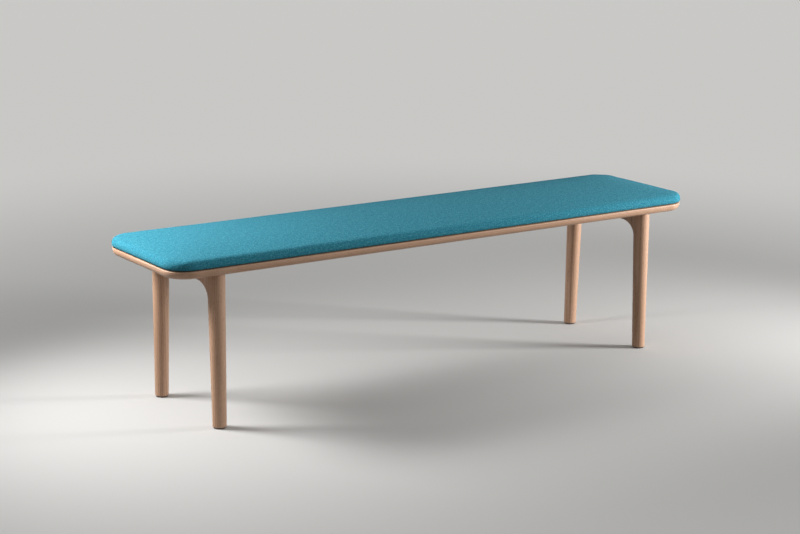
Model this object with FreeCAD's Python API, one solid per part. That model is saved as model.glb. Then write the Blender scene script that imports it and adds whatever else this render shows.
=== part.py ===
import FreeCAD, Part
import math
import os

# Upholstered wooden bench, in millimetres.
# The origin is on the floor below the middle of the seat: +X along the length, +Y to the back, +Z up.

V = FreeCAD.Vector

# Seat outline and the height of the oak frame's top
seat_length = 1640.0
seat_width = 380.0
corner_radius = 62.0
inner_corner_radius = 5.0    # least radius where an outline lies far inside the frame's edge
frame_top = 414.5

# Oak frame: two long rails, two wide end rails with the round corners, and cross slats
frame_thickness = 21.0
frame_edge_flat = 1.0        # upright part of the edge, between its upper and its lower round
frame_top_round = 3.0
long_rail_width = 58.0
end_rail_margin = 12.0       # end rail past the inner side of the leg
slat_count = 3
slat_width = 60.0
slat_thickness = 20.0

# Pad: one fabric cover over foam on a plywood panel
pad_gap = 2.0                # shadow line between frame and cover
pad_overhang = 2.4           # widest line of the cover outside the frame
pad_draw_in = 3.4            # cover's lower edge inside its widest line
pad_side_height = 9.7
pad_shoulder_width = 13.0
pad_shoulder_height = 13.3
crown_height = 15.5
crown_width = 142.0          # from the widest line to the flat middle
crown_corner_radius = 45.0
crown_steps = 9              # sections from the shoulder to the flat middle
fabric_thickness = 1.6
hem_inset = 78.0             # inner edge of the cover under the panel
foam_clearance = 0.3
panel_thickness = 9.0
panel_inset = 6.0

# Spacer strips in the shadow line, and the dust cover below the panel
spacer_inset = 13.0
spacer_width = 25.0
dust_cover_thickness = 0.8
dust_cover_inset = 66.0

# Staples that hold dust cover and hem to the panel
staple_inset = 70.0
staple_crown = 10.0
staple_wire = 1.0
staple_thickness = 0.6
staple_leg = 6.0
staple_spacing = 84.0

# Round tapered legs, measured at the frame's underside and at the floor
leg_end_inset = 137.0
leg_top_inset = 43.3
leg_foot_inset = 35.0
leg_top_diameter = 45.0
leg_foot_diameter = 35.5
foot_chamfer = 1.0
flare_radius = 39.0
flare_straight = 4.0         # level part of the flare before its end
flare_set_in = 0.3           # flat sides of flare and crossbar inside the leg's round side
flare_start_flat = 0.4       # half the flat between the flare's rounds where it grows out of the leg
crossbar_round = 4.0         # round of the crossbar's lower arrises
crossbar_height = 28.0

# Dowels
dowel_diameter = 8.0
dowel_length = 40.0
rail_dowel_spacing = 28.0
slat_dowel_spacing = 30.0
crossbar_dowel_spacing = 20.0
leg_dowel_diameter = 10.0
leg_dowel_length = 34.0

# Bolts up through the crossbars into threaded inserts
bolts_per_crossbar = 3
bolt_end_margin = 26.0       # outermost bolts from the crossbar's ends
bolt_diameter = 6.0
bolt_hole_clearance = 0.3
bolt_head_diameter = 10.5
bolt_head_height = 3.3
bolt_socket_diameter = 4.6
bolt_socket_depth = 2.0
washer_diameter = 12.0
washer_thickness = 1.6
bolt_recess_diameter = 14.0
bolt_recess_depth = 7.0
insert_diameter = 9.5
insert_length = 14.0
thread_gap = 0.05

# Screws up through frame and spacers into the panel
screw_diameter = 4.0
screw_length = 25.0
screw_head_diameter = 8.0
screw_head_height = 2.6
screw_hole_clearance = 0.2
screw_recess_diameter = 9.0
screw_recess_depth = 5.0
screws_per_long_rail = 4
screw_long_spacing = 320.0
screw_end_spacing = 120.0

# Glides with their nails
glide_diameter = 31.0
glide_thickness = 3.0
glide_chamfer = 0.6
nail_diameter = 2.2
nail_length = 16.0
nail_head_diameter = 6.0
nail_head_thickness = 1.0
nail_recess_clearance = 0.2
nail_recess_depth = 1.4

# Places worked out from the sizes above
half_length = seat_length / 2
half_width = seat_width / 2
frame_bottom = frame_top - frame_thickness
frame_middle = frame_top - frame_thickness / 2
frame_under_round = frame_thickness - frame_top_round - frame_edge_flat
pad_bottom = frame_top + pad_gap
widest_height = pad_bottom + pad_side_height
panel_bottom = pad_bottom + fabric_thickness
panel_top = panel_bottom + panel_thickness
dust_cover_bottom = pad_bottom - dust_cover_thickness
slat_top = dust_cover_bottom
slat_bottom = slat_top - slat_thickness
crossbar_bottom = frame_bottom - crossbar_height
crossbar_middle = frame_bottom - crossbar_height / 2
leg_x = half_length - leg_end_inset
leg_top_y = half_width - leg_top_inset
leg_foot_y = half_width - leg_foot_inset
end_rail_x = leg_x - leg_top_diameter / 2 - end_rail_margin
rail_inner_y = half_width - long_rail_width
screw_inset = spacer_inset + spacer_width / 2
SIDES = {"left": -1, "right": 1}
ENDS = {"front": -1, "back": 1}


# Simple shapes

def block(x0, x1, y0, y1, z0, z1):
    return Part.makeBox(x1 - x0, y1 - y0, z1 - z0, V(x0, y0, z0))


def rod(diameter, start, end):
    axis = end.sub(start)
    return Part.makeCylinder(diameter / 2, axis.Length, start, axis)


def fused(shapes):
    first, rest = shapes[0], shapes[1:]
    return first.fuse(rest).removeSplitter() if rest else first


def prism(points, direction):
    return Part.Face(Part.makePolygon(points + points[:1])).extrude(direction)


def rounded_outline(inset, height, least_radius=inner_corner_radius):
    """Outline of the seat at an inset from the frame's edge, as four lines and four arcs."""
    a = half_length - inset
    b = half_width - inset
    r = max(corner_radius - inset, least_radius)
    s = r * (1 - math.sqrt(0.5))

    def point(x, y):
        return V(x, y, height)

    edges = []
    corners = [(1, -1), (1, 1), (-1, 1), (-1, -1)]
    for number, (i, j) in enumerate(corners):
        along_x, along_y = point(i * (a - r), j * b), point(i * a, j * (b - r))
        middle = point(i * (a - s), j * (b - s))
        start, end = (along_x, along_y) if number % 2 == 0 else (along_y, along_x)
        before = point(-i * (a - r), j * b) if number % 2 == 0 else point(i * a, -j * (b - r))
        edges.append(Part.LineSegment(before, start).toShape())
        edges.append(Part.Arc(start, middle, end).toShape())
    return Part.Wire(edges)


def plate(inset, bottom, top):
    return Part.Face(rounded_outline(inset, bottom)).extrude(V(0, 0, top - bottom))


def edges_at(shape, height):
    return [e for e in shape.Edges if all(abs(v.Z - height) < 1e-6 for v in e.Vertexes)]


# Oak frame

def frame_board():
    """Whole outer form of the frame, which the rails are cut from."""
    board = plate(0, frame_bottom, frame_top)
    board = board.makeFillet(frame_under_round, edges_at(board, frame_bottom))
    return board.makeFillet(frame_top_round, edges_at(board, frame_top))


def end_rail(side):
    x0, x1 = sorted((side * end_rail_x, side * half_length))
    rail = frame_board().common(block(x0, x1, -half_width, half_width, frame_bottom, frame_top))
    return rail.cut(Part.makeCompound(rail_dowels() + leg_dowels() + insert_holes() + screw_holes()))


def long_rail(end):
    y0, y1 = sorted((end * rail_inner_y, end * half_width))
    rail = frame_board().common(block(-end_rail_x, end_rail_x, y0, y1, frame_bottom, frame_top))
    return rail.cut(Part.makeCompound(rail_dowels() + slat_dowels() + screw_holes()))


def slat_places():
    step = 2 * end_rail_x / (slat_count + 1)
    return [-end_rail_x + step * (n + 1) for n in range(slat_count)]


def slat(x):
    x0, x1 = x - slat_width / 2, x + slat_width / 2
    piece = block(x0, x1, -rail_inner_y, rail_inner_y, slat_bottom, slat_top)
    return piece.cut(Part.makeCompound(slat_dowels()))


# Dowels

def rail_dowels():
    rods = []
    for i in SIDES.values():
        for j in ENDS.values():
            for k in (-1, 1):
                y = j * (half_width - long_rail_width / 2) + k * rail_dowel_spacing / 2
                x = i * end_rail_x
                ends = V(x - dowel_length / 2, y, frame_middle), V(x + dowel_length / 2, y, frame_middle)
                rods.append(rod(dowel_diameter, *ends))
    return rods


def slat_dowels():
    """Dowels at the middle of the height that slats and long rails share."""
    rods = []
    height = (slat_bottom + frame_top) / 2
    for middle in slat_places():
        for j in ENDS.values():
            for k in (-1, 1):
                x = middle + k * slat_dowel_spacing / 2
                y = j * rail_inner_y
                ends = V(x, y - dowel_length / 2, height), V(x, y + dowel_length / 2, height)
                rods.append(rod(dowel_diameter, *ends))
    return rods


def crossbar_dowels():
    rods = []
    for i in SIDES.values():
        for j in ENDS.values():
            for k in (-1, 1):
                x = i * leg_x + k * crossbar_dowel_spacing / 2
                y = j * flare_end_y()
                start = V(x, y - dowel_length / 2, crossbar_middle)
                rods.append(rod(dowel_diameter, start, start + V(0, dowel_length, 0)))
    return rods


def leg_dowels():
    rods = []
    for i in SIDES.values():
        for j in ENDS.values():
            bottom = V(i * leg_x, j * leg_top_y, frame_bottom - leg_dowel_length / 2)
            rods.append(rod(leg_dowel_diameter, bottom, bottom + V(0, 0, leg_dowel_length)))
    return rods


# Legs and crossbars

def leg_radius(height):
    share = height / frame_bottom
    return (leg_foot_diameter + share * (leg_top_diameter - leg_foot_diameter)) / 2


def leg_axis_y(height):
    """Distance of the leg's axis from the middle plane: the foot stands further out than the top."""
    return leg_foot_y + height / frame_bottom * (leg_top_y - leg_foot_y)


def inner_side_y(height):
    return leg_axis_y(height) - leg_radius(height)


def flare_centre():
    """Centre of the concave arc that touches the leg's inner side and the crossbar's underside."""
    height = crossbar_bottom - flare_radius
    lean = math.atan2(inner_side_y(0) - inner_side_y(frame_bottom), frame_bottom)
    return inner_side_y(height) + flare_set_in - flare_radius / math.cos(lean), height, lean


def flare_end_y():
    return flare_centre()[0] - flare_straight


def side_wedge(y0, y1, bottom, top):
    """Block between two cross planes whose sides lean in step with the leg's taper."""
    low, high = leg_radius(bottom) - flare_set_in, leg_radius(top) - flare_set_in
    points = [V(-low, y0, bottom), V(low, y0, bottom), V(high, y0, top), V(-high, y0, top)]
    return prism(points, V(0, y1 - y0, 0))


def lower_arris(shape, side, low, high):
    """The edge that climbs from one height to the other at one side of the middle plane."""
    for edge in shape.Edges:
        heights = sorted(v.Z for v in edge.Vertexes)
        if abs(heights[0] - low) + abs(heights[-1] - high) < 1e-6 and side * edge.CenterOfMass.x > 0:
            return edge


def fade_out(shape, low, high):
    """Rounds both lower arrises, from fully round at the leg to a small round at the crossbar."""
    full_round = leg_radius(low) - flare_set_in - flare_start_flat
    for side in (-1, 1):
        edge = lower_arris(shape, side, low, high)
        climbs = edge.firstVertex(True).Z < edge.lastVertex(True).Z
        start, end = (full_round, crossbar_round) if climbs else (crossbar_round, full_round)
        shape = shape.makeFillet(start, end, [edge])
    return shape


def flare():
    """Flare of a back leg, on the leg's own middle plane. Its lower arrises fade into the leg."""
    centre_y, centre_z, lean = flare_centre()
    half_turn = (math.pi / 2 - lean) / 2
    touch = V(0, centre_y + flare_radius * math.cos(lean), centre_z + flare_radius * math.sin(lean))
    angle = lean + half_turn
    middle = V(0, centre_y + flare_radius * math.cos(angle), centre_z + flare_radius * math.sin(angle))
    level = V(0, centre_y, crossbar_bottom)
    end_low, end_high = V(0, flare_end_y(), crossbar_bottom), V(0, flare_end_y(), frame_bottom)
    axis_high = V(0, leg_axis_y(frame_bottom), frame_bottom)
    axis_low = V(0, leg_axis_y(touch.z), touch.z)
    corners = [level, end_low, end_high, axis_high, axis_low, touch]
    edges = [Part.Arc(touch, middle, level).toShape()]
    edges += [Part.LineSegment(a, b).toShape() for a, b in zip(corners, corners[1:])]
    side = Part.Face(Part.Wire(edges))
    side.translate(V(-leg_top_diameter, 0, 0))
    form = side.extrude(V(2 * leg_top_diameter, 0, 0))
    form = form.common(side_wedge(flare_end_y(), half_width, touch.z, frame_bottom))
    return fade_out(form, touch.z, crossbar_bottom)


def plain_leg():
    """Back leg with its flare, on its own middle plane."""
    foot, top = V(0, leg_axis_y(0), 0), V(0, leg_axis_y(frame_bottom), frame_bottom)
    axis = top.sub(foot)
    past = leg_top_diameter
    shaft = Part.makeCone(leg_radius(0), leg_radius(frame_bottom), axis.Length, foot, axis)
    cap = Part.makeCylinder(leg_radius(frame_bottom), past, top, axis)
    room = block(-past, past, 0, half_width, glide_thickness, frame_bottom)
    shaft = fused([shaft, cap]).common(room)
    shaft = shaft.makeChamfer(foot_chamfer, edges_at(shaft, glide_thickness))
    return fused([shaft, flare()])


def leg(side, end):
    piece = plain_leg()
    if end < 0:
        piece.rotate(V(0, 0, 0), V(0, 0, 1), 180)
    piece.translate(V(side * leg_x, 0, 0))
    return piece.cut(Part.makeCompound(crossbar_dowels() + leg_dowels() + nails()))


def crossbar(side):
    bar = side_wedge(-flare_end_y(), flare_end_y(), crossbar_bottom, frame_bottom)
    long_edges = [e for e in edges_at(bar, crossbar_bottom) if e.Length > flare_end_y()]
    bar = bar.makeFillet(crossbar_round, long_edges)
    bar.translate(V(side * leg_x, 0, 0))
    holes = crossbar_dowels()
    for y in bolt_offsets():
        low = V(side * leg_x, y, crossbar_bottom)
        holes.append(rod(bolt_recess_diameter, low, low + V(0, 0, bolt_recess_depth)))
        holes.append(rod(bolt_diameter + 2 * bolt_hole_clearance, low, low + V(0, 0, crossbar_height)))
    return bar.cut(Part.makeCompound(holes))


# Bolts, washers and inserts

def bolt_offsets():
    middle = (bolts_per_crossbar - 1) / 2
    outermost = flare_end_y() - bolt_end_margin
    return [(n - middle) / middle * outermost for n in range(bolts_per_crossbar)]


def bolt_places():
    return [(i * leg_x, y) for i in SIDES.values() for y in bolt_offsets()]


def bolt(x, y):
    recess = crossbar_bottom + bolt_recess_depth
    seat = V(x, y, recess - washer_thickness)
    top = V(x, y, frame_bottom + insert_length)
    head_low = seat - V(0, 0, bolt_head_height)
    shank = rod(bolt_diameter - 2 * thread_gap, seat, top)
    whole = fused([rod(bolt_head_diameter, head_low, seat), shank])
    return whole.cut(rod(bolt_socket_diameter, head_low, head_low + V(0, 0, bolt_socket_depth)))


def washer(x, y):
    high = V(x, y, crossbar_bottom + bolt_recess_depth)
    low = high - V(0, 0, washer_thickness)
    return rod(washer_diameter, low, high).cut(rod(bolt_diameter + 2 * bolt_hole_clearance, low, high))


def insert(x, y):
    low = V(x, y, frame_bottom)
    high = low + V(0, 0, insert_length)
    return rod(insert_diameter, low, high).cut(rod(bolt_diameter, low, high))


def insert_holes():
    lows = [V(x, y, frame_bottom) for x, y in bolt_places()]
    return [rod(insert_diameter, low, low + V(0, 0, insert_length)) for low in lows]


# Screws through frame and spacers into the panel

def screw_places():
    middle = (screws_per_long_rail - 1) / 2
    along = [(n - middle) * screw_long_spacing for n in range(screws_per_long_rail)]
    places = [(x, j * (half_width - screw_inset)) for x in along for j in ENDS.values()]
    across = [k * screw_end_spacing / 2 for k in (-1, 1)]
    return places + [(i * (half_length - screw_inset), y) for i in SIDES.values() for y in across]


def screw(x, y):
    seat = V(x, y, frame_bottom + screw_recess_depth)
    head = rod(screw_head_diameter, seat - V(0, 0, screw_head_height), seat)
    return fused([head, rod(screw_diameter, seat, seat + V(0, 0, screw_length))])


def screws():
    return [screw(x, y) for x, y in screw_places()]


def screw_holes():
    """Through holes with their recesses, from the frame's underside to the panel."""
    holes = []
    for x, y in screw_places():
        low = V(x, y, frame_bottom)
        holes.append(rod(screw_recess_diameter, low, low + V(0, 0, screw_recess_depth)))
        holes.append(rod(screw_diameter + 2 * screw_hole_clearance, low, V(x, y, panel_bottom)))
    return holes


# Spacer strips

def spacer_ring():
    inner = spacer_inset + spacer_width
    ring = plate(spacer_inset, frame_top, pad_bottom).cut(plate(inner, frame_top, pad_bottom))
    return ring.cut(Part.makeCompound(screw_holes()))


def long_spacer(end):
    straight = half_length - corner_radius
    y0, y1 = sorted((0, end * half_width))
    return spacer_ring().common(block(-straight, straight, y0, y1, frame_top, pad_bottom))


def end_spacer(side):
    x0, x1 = sorted((side * (half_length - corner_radius), side * half_length))
    return spacer_ring().common(block(x0, x1, -half_width, half_width, frame_top, pad_bottom))


# Pad

def crown_rise(across):
    return crown_height * (1 - (1 - across / crown_width) ** 2)


def pad_form(inward):
    """Closed form of the pad, drawn inward evenly: drawn-in sides, round shoulder, long soft crown."""
    sections = []
    for angle in (90, 68, 45, 22):
        a = math.radians(angle)
        inset = inward - pad_overhang + pad_draw_in * (1 - math.cos(a))
        sections.append((inset, widest_height - (pad_side_height - inward) * math.sin(a)))
    for angle in (0, 18, 36, 54, 72, 90):
        a = math.radians(angle)
        across = pad_shoulder_width * (1 - math.cos(a))
        height = widest_height + (pad_shoulder_height - inward) * math.sin(a) + crown_rise(across)
        sections.append((inward - pad_overhang + across, height))
    for n in range(1, crown_steps + 1):
        across = pad_shoulder_width + (crown_width - pad_shoulder_width) * n / crown_steps
        height = widest_height + pad_shoulder_height - inward + crown_rise(across)
        sections.append((inward - pad_overhang + across, height))
    wires = [rounded_outline(inset, height, crown_corner_radius) for inset, height in sections]
    return Part.makeLoft(wires, True, True)


def fabric_cover():
    cover = pad_form(0).cut(pad_form(fabric_thickness))
    cover = cover.cut(plate(hem_inset, pad_bottom, panel_bottom))
    return cover.cut(Part.makeCompound(screw_holes() + staple_legs()))


def foam_pad():
    return pad_form(fabric_thickness + foam_clearance).cut(plate(panel_inset, pad_bottom, panel_top))


def seat_panel():
    return plate(panel_inset, panel_bottom, panel_top).cut(Part.makeCompound(screws() + staple_legs()))


def dust_cover():
    return plate(dust_cover_inset, dust_cover_bottom, pad_bottom).cut(Part.makeCompound(staple_legs()))


# Staples

def staple_places():
    """Middle of each staple, with its turn about the vertical."""
    places = []
    edge_y, edge_x = half_width - staple_inset, half_length - staple_inset
    for length, edge, turned in ((2 * edge_x, edge_y, False), (2 * edge_y, edge_x, True)):
        count = int((length - corner_radius) / staple_spacing)
        for n in range(count + 1):
            along = (n - count / 2) * staple_spacing
            for side in (-1, 1):
                places.append((side * edge, along, True) if turned else (along, side * edge, False))
    return places


def staple_part(x, y, turned, length, z0, z1):
    half = length / 2
    wire = staple_wire / 2
    return block(x - wire, x + wire, y - half, y + half, z0, z1) if turned else \
        block(x - half, x + half, y - wire, y + wire, z0, z1)


def leg_pair(x, y, turned):
    reach = (staple_crown - staple_thickness) / 2
    low, high = dust_cover_bottom, dust_cover_bottom + staple_leg
    legs = []
    for side in (-1, 1):
        along = side * reach
        px, py = (x, y + along) if turned else (x + along, y)
        legs.append(staple_part(px, py, turned, staple_thickness, low, high))
    return legs


def staple_legs():
    return [part for place in staple_places() for part in leg_pair(*place)]


def staples():
    whole = []
    for x, y, turned in staple_places():
        low = dust_cover_bottom - staple_thickness
        crown = staple_part(x, y, turned, staple_crown, low, dust_cover_bottom)
        whole.append(fused([crown] + leg_pair(x, y, turned)))
    return whole


# Glides and nails

def foot_places():
    return [(i * leg_x, j * leg_foot_y) for i in SIDES.values() for j in ENDS.values()]


def nail(x, y):
    seat = V(x, y, nail_recess_depth)
    head = rod(nail_head_diameter, seat - V(0, 0, nail_head_thickness), seat)
    return fused([head, rod(nail_diameter, seat, seat + V(0, 0, nail_length))])


def nails():
    return [nail(x, y) for x, y in foot_places()]


def glide(side, end):
    foot = V(side * leg_x, end * leg_foot_y, 0)
    disc = rod(glide_diameter, foot, foot + V(0, 0, glide_thickness))
    disc = disc.makeChamfer(glide_chamfer, edges_at(disc, 0))
    recess = rod(nail_head_diameter + 2 * nail_recess_clearance, foot, foot + V(0, 0, nail_recess_depth))
    shank_hole = rod(nail_diameter, foot, foot + V(0, 0, glide_thickness))
    return disc.cut(Part.makeCompound([recess, shank_hole]))


# All pieces by name

def build():
    pieces = {}
    for name, end in ENDS.items():
        pieces["seat_rail_" + name] = long_rail(end)
        pieces["spacer_" + name] = long_spacer(end)
    for name, side in SIDES.items():
        pieces["seat_rail_" + name] = end_rail(side)
        pieces["spacer_" + name] = end_spacer(side)
        pieces["crossbar_" + name] = crossbar(side)
    for number, x in enumerate(slat_places(), 1):
        pieces["cross_slat_%d" % number] = slat(x)
    for end_name, end in ENDS.items():
        for side_name, side in SIDES.items():
            pieces["leg_%s_%s" % (end_name, side_name)] = leg(side, end)
            pieces["glide_%s_%s" % (end_name, side_name)] = glide(side, end)
    pieces["fabric_cover"] = fabric_cover()
    pieces["foam_pad"] = foam_pad()
    pieces["seat_panel"] = seat_panel()
    pieces["dust_cover"] = dust_cover()
    groups = {
        "rail_dowels": rail_dowels(),
        "slat_dowels": slat_dowels(),
        "crossbar_dowels": crossbar_dowels(),
        "leg_dowels": leg_dowels(),
        "crossbar_bolts": [bolt(x, y) for x, y in bolt_places()],
        "bolt_washers": [washer(x, y) for x, y in bolt_places()],
        "threaded_inserts": [insert(x, y) for x, y in bolt_places()],
        "panel_screws": screws(),
        "cover_staples": staples(),
        "glide_nails": nails(),
    }
    for name, solids in groups.items():
        pieces[name] = Part.makeCompound(solids)
    return pieces


os.makedirs("parts", exist_ok=True)
for node, shape in build().items():
    facts = (node, len(shape.Solids), shape.Volume, shape.isValid())
    print("%-20s solids %3d  volume %12.1f  valid %s" % facts)
    shape.exportStep("parts/%s.step" % node)
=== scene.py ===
import math

import bmesh
import bpy
import numpy as np
from bpy.props import FloatProperty, FloatVectorProperty, IntProperty, PointerProperty
from mathutils import Matrix, Vector, noise


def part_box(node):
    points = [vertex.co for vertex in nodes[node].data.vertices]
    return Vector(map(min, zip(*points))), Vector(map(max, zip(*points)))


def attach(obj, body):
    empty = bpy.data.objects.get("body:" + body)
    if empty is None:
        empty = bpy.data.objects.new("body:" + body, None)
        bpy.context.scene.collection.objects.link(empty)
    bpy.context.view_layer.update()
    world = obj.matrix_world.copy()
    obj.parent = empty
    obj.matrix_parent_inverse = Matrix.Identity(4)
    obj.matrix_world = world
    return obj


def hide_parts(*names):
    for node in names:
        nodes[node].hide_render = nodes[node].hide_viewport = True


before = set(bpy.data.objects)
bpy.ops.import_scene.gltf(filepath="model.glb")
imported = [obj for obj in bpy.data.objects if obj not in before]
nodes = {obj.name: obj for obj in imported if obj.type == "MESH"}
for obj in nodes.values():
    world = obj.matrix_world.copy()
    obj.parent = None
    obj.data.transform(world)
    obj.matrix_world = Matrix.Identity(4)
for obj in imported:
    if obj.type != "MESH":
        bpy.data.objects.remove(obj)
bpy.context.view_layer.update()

bl_info = {
    "name": "Upholstered wooden bench",
    "version": (1, 0, 0),
    "blender": (4, 5, 0),
    "location": "3D View > Sidebar > Bench",
    "description": "Finishes the bench: oak frame and legs, fabric pad, and the hardware underneath",
    "category": "Object",
}

MM = 0.001
TINY = 1e-9

# Outline of the seat frame and the heights of its layers, from the CAD model
outline_half_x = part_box("seat_rail_right")[1].x
outline_half_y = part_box("seat_rail_back")[1].y
corner_radius = outline_half_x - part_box("spacer_front")[1].x
pad_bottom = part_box("fabric_cover")[0].z
pad_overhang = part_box("fabric_cover")[1].x - outline_half_x
panel_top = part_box("seat_panel")[1].z
panel_inset = outline_half_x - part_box("seat_panel")[1].x
dust_cover_low, dust_cover_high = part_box("dust_cover")
staples_low, staples_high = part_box("cover_staples")
screws_low, screws_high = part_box("panel_screws")
bolts_low, bolts_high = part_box("crossbar_bolts")
leg_x = sum(corner.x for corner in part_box("leg_back_right")) / 2
foot_y = sum(corner.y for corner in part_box("glide_back_right")) / 2


def linear(code):
    """A colour written as sRGB hex, as linear RGBA."""
    parts = [int(code[n:n + 2], 16) / 255 for n in (1, 3, 5)]
    return tuple(p / 12.92 if p <= 0.04045 else ((p + 0.055) / 1.055) ** 2.4 for p in parts) + (1.0,)


def colour(name, description, code):
    return FloatVectorProperty(
        name=name, description=description, subtype="COLOR", size=4, min=0, max=1, default=linear(code))


def number(name, description, value, **kind):
    return FloatProperty(name=name, description=description, default=value, **kind)


def length(name, description, millimetres):
    return number(name, description, millimetres * MM, unit="LENGTH", min=0, precision=4)


# Sizes and colours that a user would change

class BenchWood(bpy.types.PropertyGroup):
    """Colours and grain of the oak, and the edges of the sawn pieces"""
    oak_light: colour("Oak, late growth", "Colour of the pale oak between its pores", "#DCB497")
    oak_dark: colour("Oak, early growth", "Colour of the porous lines of the oak", "#B28565")
    oak_pore: colour("Oak pores", "Colour in the open pores of the oak", "#835B44")
    ring_width: length("Ring width", "Distance between two growth rings", 4.2)
    arris: length("Arris", "Width of the eased edges of the sawn pieces", 0.5)
    leg_grid: length("Leg grid", "Face size of the smoothly blended legs", 1.5)


class BenchPad(bpy.types.PropertyGroup):
    """Shape and cloth of the pad"""
    yarn_light: colour("Light yarn", "Colour of the lighter yarn of the twill", "#429CB1")
    yarn_dark: colour("Dark yarn", "Colour of the darker yarn of the twill", "#1D677E")
    fleck: colour("Fleck", "Colour of the pale fibres spun into the yarn", "#8ACFDB")
    foam: colour("Foam", "Colour of the foam inside", "#E8DFC6")
    yarn_pitch: length("Yarn pitch", "Distance between neighbouring yarns", 2.2)
    cloth_thickness: length("Cloth thickness", "Thickness of the fabric", 1.6)
    draw_in: length("Draw-in", "How far the sides pull in towards their lower edge", 3.4)
    side_height: length("Side height", "Height of the widest line above the lower edge", 9.7)
    shoulder_width: length("Shoulder width", "Width of the round shoulder", 13)
    shoulder_height: length("Shoulder height", "Height of the round shoulder", 13.3)
    crown_height: length("Crown height", "Rise of the pad from its shoulder to its middle", 15.5)
    crown_width: length("Crown width", "Distance from the widest line to the flat middle", 142)
    crown_corner: length("Crown corner", "Least corner radius of the sections of the crown", 45)
    hem_inset: length("Hem inset", "Inner edge of the hem below the panel, from the outline", 78)
    swell: length("Swell", "Part of the crown that comes from the filling's pressure", 4.5)
    swell_cap: length("Swell cap", "Most that any point of the cover may move", 6)
    unevenness: length("Unevenness", "Height of the slow unevenness of the foam", 0.35)
    grid: length("Grid", "Face size of the cover before its subdivision", 6)
    pressure: number("Pressure", "Pressure that fills the cover", 4, min=0)
    frames: IntProperty(
        name="Frames", description="Frames that the cloth has to settle", min=2, default=20)


class BenchHardware(bpy.types.PropertyGroup):
    """Sizes of the staples, screws, bolts and nails"""
    steel: colour("Steel", "Colour of the zinc plating", "#B9BCBD")
    staple_crown: length("Staple crown", "Width of a staple", 10)
    staple_wire: length("Staple wire", "Width of a staple's wire", 1)
    staple_thickness: length("Staple thickness", "Thickness of a staple's wire", 0.6)
    staple_leg: length("Staple leg", "Length of a staple's legs", 6)
    staple_spacing: length("Staple spacing", "Distance between two staples", 84)
    screw_diameter: length("Screw diameter", "Outer diameter of a screw's thread", 4)
    screw_length: length("Screw length", "Length of a screw below its head", 25)
    screw_pitch: length("Screw pitch", "Rise of a screw's thread in one turn", 1.8)
    screw_head: length("Screw head", "Diameter of a screw's head", 8)
    screw_head_height: length("Screw head height", "Height of a screw's head", 2.6)
    screw_spacing: length("Screw spacing", "Distance between screws along the bench", 320)
    screw_end_spacing: length("Screw end spacing", "Distance between screws at the ends", 120)
    bolt_diameter: length("Bolt diameter", "Outer diameter of a bolt's thread", 5.9)
    bolt_pitch: length("Bolt pitch", "Rise of a bolt's thread in one turn", 1)
    bolt_head: length("Bolt head", "Diameter of a bolt's head", 10.5)
    bolt_head_height: length("Bolt head height", "Height of a bolt's head", 3.3)
    bolt_socket: length("Bolt socket", "Width across the corners of a bolt's hexagon socket", 4.6)
    washer_diameter: length("Washer diameter", "Outer diameter of a washer", 12)
    washer_hole: length("Washer hole", "Diameter of a washer's hole", 6.6)
    nail_diameter: length("Nail diameter", "Diameter of a glide's nail", 2.2)
    nail_head: length("Nail head", "Diameter of a nail's head", 6)
    nail_head_height: length("Nail head height", "Height of a nail's head", 1)


class BenchStage(bpy.types.PropertyGroup):
    """Floor, lamps and camera"""
    floor: colour("Floor", "Colour of the plain floor", "#D4D3D1")
    bounce: colour("Floor's bounce", "Colour of the floor for the light that it throws up", "#8A8987")
    backdrop: number("Backdrop", "Paleness that the floor fades to far behind the bench", 0.5, min=0)
    sky: number("Sky", "Strength of the soft light from overhead", 0.46, min=0)
    horizon: number("Horizon", "Strength of the soft light that comes in level", 0.09, min=0)
    background: number("Background", "Paleness above the far edge of the floor", 0.68, min=0)
    key: number("Key lamp", "Power of the soft lamp beyond the left end", 6.6, subtype="POWER")
    rim: number("Rim lamp", "Power of the soft lamp beyond the right end", 8.4, subtype="POWER")
    top: number("Top lamp", "Power of the broad lamp above", 1.5, subtype="POWER")
    eye: FloatVectorProperty(
        name="Camera", description="Place of the camera", subtype="TRANSLATION", unit="LENGTH",
        default=(-2.8618, -4.1344, 1.4982))
    turn: number("Turn", "Turn of the view from the back towards the right end", 0.5987, subtype="ANGLE")
    tilt: number("Tilt", "Tilt of the view below level", 0.2357, subtype="ANGLE")
    roll: number("Roll", "Roll of the camera", 0.0102, subtype="ANGLE")
    lens: number("Lens", "Focal length", 86.07, unit="CAMERA")


# Help for all pieces

def new_object(name, mesh):
    piece = bpy.data.objects.new(name, mesh)
    bpy.context.scene.collection.objects.link(piece)
    return piece


def smooth_object(name, skin):
    """A smoothly shaded object from a bmesh, which is used up."""
    for face in skin.faces:
        face.smooth = True
    mesh = bpy.data.meshes.new(name)
    skin.to_mesh(mesh)
    skin.free()
    return new_object(name, mesh)


def baked_mesh(piece):
    """The piece's mesh with its modifiers worked in."""
    graph = bpy.context.evaluated_depsgraph_get()
    return bpy.data.meshes.new_from_object(piece.evaluated_get(graph))


def bake(piece):
    """Works the piece's modifiers into its mesh and takes them off."""
    mesh = baked_mesh(piece)
    piece.modifiers.clear()
    old = piece.data
    piece.data = mesh
    bpy.data.meshes.remove(old)


def points_of(mesh):
    """The mesh's points as an array."""
    flat = np.empty(len(mesh.vertices) * 3)
    mesh.vertices.foreach_get("co", flat)
    return flat.reshape(-1, 3)


def move_points(mesh, points):
    mesh.vertices.foreach_set("co", points.ravel())
    mesh.update()


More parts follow.
